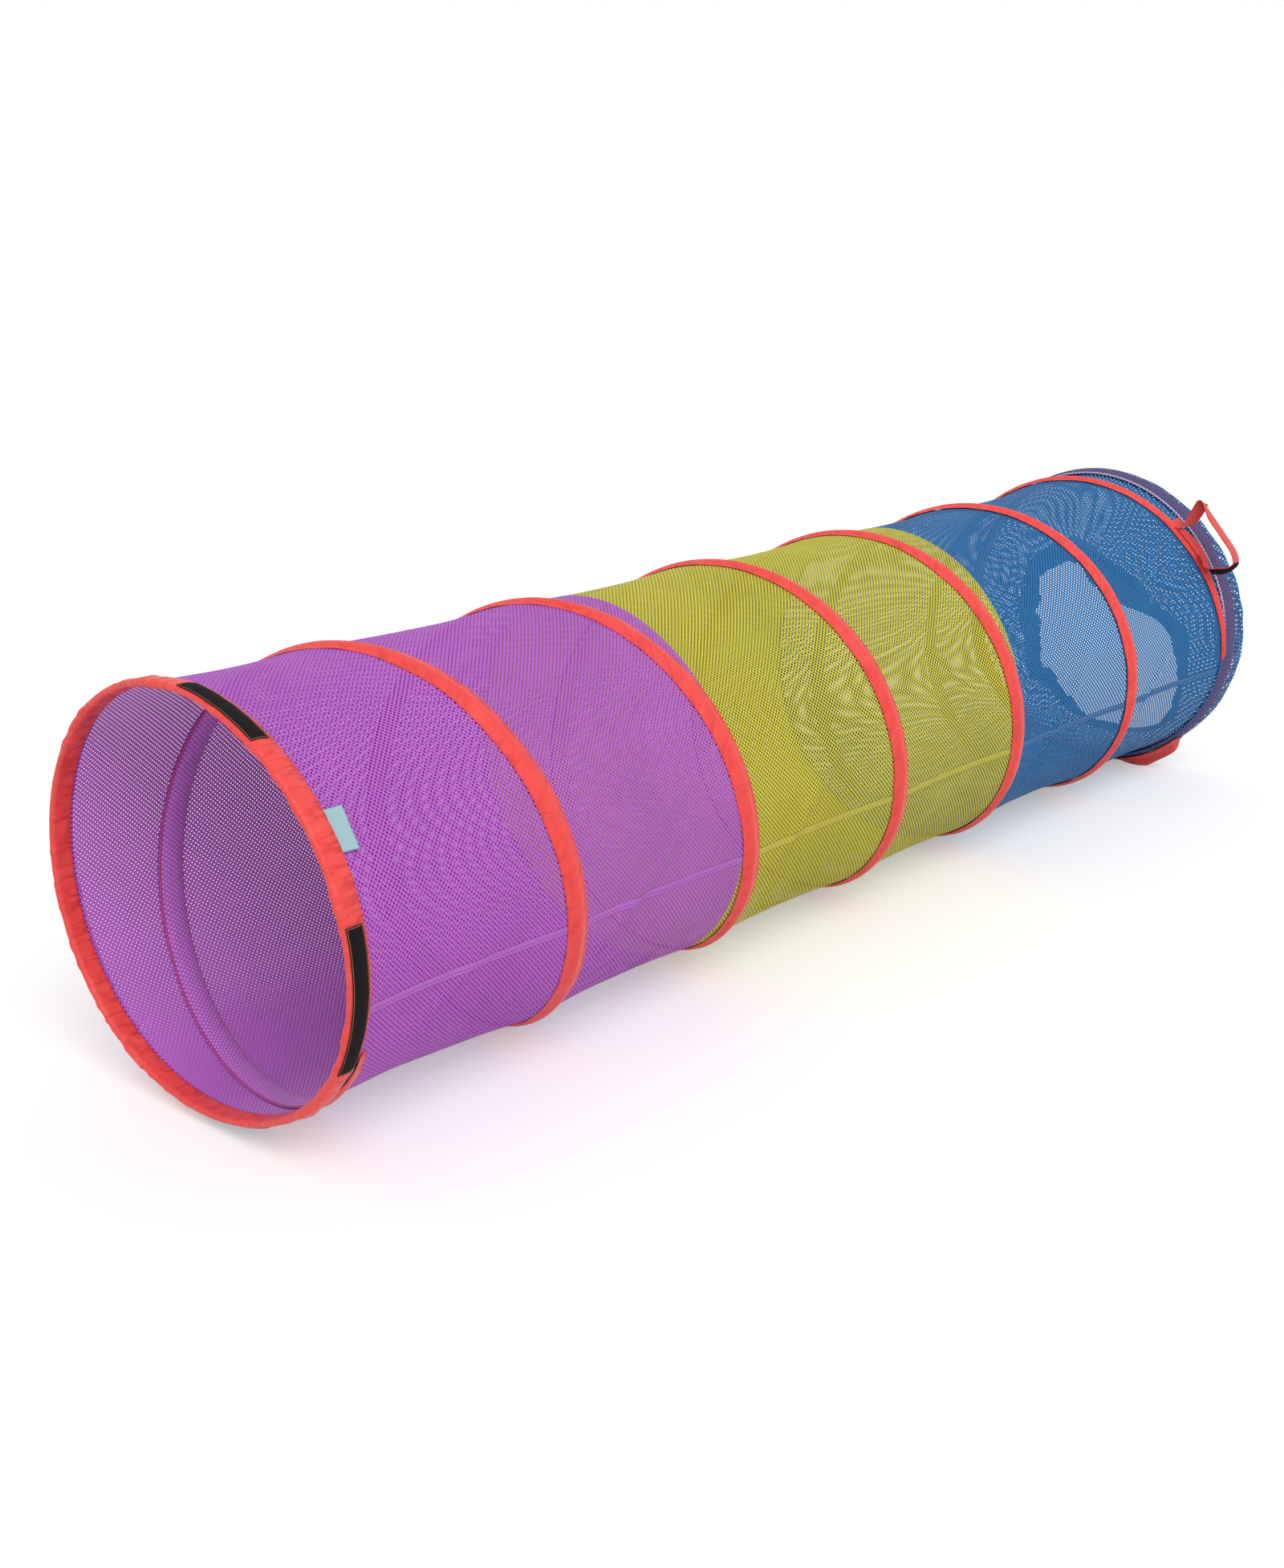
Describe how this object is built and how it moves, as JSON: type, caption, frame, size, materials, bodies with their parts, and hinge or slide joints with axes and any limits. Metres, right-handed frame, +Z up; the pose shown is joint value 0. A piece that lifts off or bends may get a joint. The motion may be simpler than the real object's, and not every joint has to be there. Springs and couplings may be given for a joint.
{
  "type": "play tunnel",
  "caption": "Pop-up crawl tunnel for children: spring-wire coil between two hoops, mesh cloth in violet, lime and blue, red tape over the coil, strap loops and a tucked-in rear skirt.",
  "frame": {"origin": "on the floor under the middle of the whole, as wide as it stands with its strap loops", "axes": "+X along the tunnel from the front hoop with the black strips to the rear hoop with the skirt, +Z up, -Y the side with the strap loops"},
  "size_m": [1.8615, 0.5039, 0.4857],
  "materials": {
    "spring_steel": "drawn spring wire",
    "red_nylon": "woven nylon, gathered over the hoop",
    "red_tape": "woven tape, stitched along both edges",
    "red_webbing": "ribbed webbing",
    "black_hook_and_loop": "hook-and-loop pile",
    "pale_label": "bare satin label",
    "violet_mesh": "see-through mesh cloth",
    "lime_mesh": "see-through mesh cloth",
    "blue_mesh": "see-through mesh cloth",
    "blue_skirt_mesh": "see-through mesh cloth"
  },
  "bodies": {
    "front": {"front_hoop_wire": "spring_steel", "front_crimp": "spring_steel", "front_sleeve": "red_nylon", "strip_top": "black_hook_and_loop", "strip_near": "black_hook_and_loop", "strip_bottom": "black_hook_and_loop", "strip_far": "black_hook_and_loop", "label": "pale_label", "coil_wire": "spring_steel", "mesh_violet": "violet_mesh", "mesh_lime": "lime_mesh", "mesh_blue": "blue_mesh"},
    "rear": {"rear_hoop_wire": "spring_steel", "rear_crimp": "spring_steel", "rear_sleeve": "red_nylon", "rear_skirt": "blue_skirt_mesh"},
    "turn_1": {"tape_1": "red_tape"},
    "turn_2": {"tape_2": "red_tape"},
    "turn_3": {"tape_3": "red_tape"},
    "turn_4": {"tape_4": "red_tape"},
    "turn_5": {"tape_5": "red_tape"},
    "turn_6": {"tape_6": "red_tape"},
    "upper_loop": {"upper_strap": "red_webbing", "upper_strap_hook": "black_hook_and_loop"},
    "lower_loop": {"lower_strap": "red_webbing", "lower_strap_hook": "black_hook_and_loop"}
  },
  "joints": [
    {"name": "collapse", "type": "slide", "parent": "front", "child": "rear", "axis": [-1, 0, 0], "range_m": [0, 1.74], "stiffness_N_per_m": 20, "springref_m": -0.25, "deforming": ["coil_wire", "mesh_violet", "mesh_lime", "mesh_blue"]},
    {"name": "turn_1_slide", "type": "slide", "parent": "front", "child": "turn_1", "axis": [-1, 0, 0], "range_m": [0, 0.214], "deforming": ["tape_1"]},
    {"name": "turn_2_slide", "type": "slide", "parent": "front", "child": "turn_2", "axis": [-1, 0, 0], "range_m": [0, 0.536], "deforming": ["tape_2"]},
    {"name": "turn_3_slide", "type": "slide", "parent": "front", "child": "turn_3", "axis": [-1, 0, 0], "range_m": [0, 0.832], "deforming": ["tape_3"]},
    {"name": "turn_4_slide", "type": "slide", "parent": "front", "child": "turn_4", "axis": [-1, 0, 0], "range_m": [0, 1.108], "deforming": ["tape_4"]},
    {"name": "turn_5_slide", "type": "slide", "parent": "front", "child": "turn_5", "axis": [-1, 0, 0], "range_m": [0, 1.407], "deforming": ["tape_5"]},
    {"name": "turn_6_slide", "type": "slide", "parent": "front", "child": "turn_6", "axis": [-1, 0, 0], "range_m": [0, 1.688], "deforming": ["tape_6"]},
    {"name": "upper_strap_swing", "type": "hinge", "parent": "turn_6", "child": "upper_loop", "pos_m": [0.84628, -0.1681, 0.408], "axis": [0, 0.682, 0.7314], "range_deg": [-60, 60], "stiffness_Nm_per_rad": 0.03, "deforming": ["upper_strap", "upper_strap_hook"]},
    {"name": "lower_strap_swing", "type": "hinge", "parent": "rear", "child": "lower_loop", "pos_m": [0.89085, -0.10687, 0.02721], "axis": [0, -0.8809, 0.4733], "range_deg": [-35, 35], "stiffness_Nm_per_rad": 0.03, "deforming": ["lower_strap", "lower_strap_hook"]}
  ],
  "couplings": [
    {"joint": "turn_1_slide", "follows": "collapse", "ratio": 0.1217},
    {"joint": "turn_2_slide", "follows": "collapse", "ratio": 0.3065},
    {"joint": "turn_3_slide", "follows": "collapse", "ratio": 0.477},
    {"joint": "turn_4_slide", "follows": "collapse", "ratio": 0.6352},
    {"joint": "turn_5_slide", "follows": "collapse", "ratio": 0.8075},
    {"joint": "turn_6_slide", "follows": "collapse", "ratio": 0.9691}
  ]
}
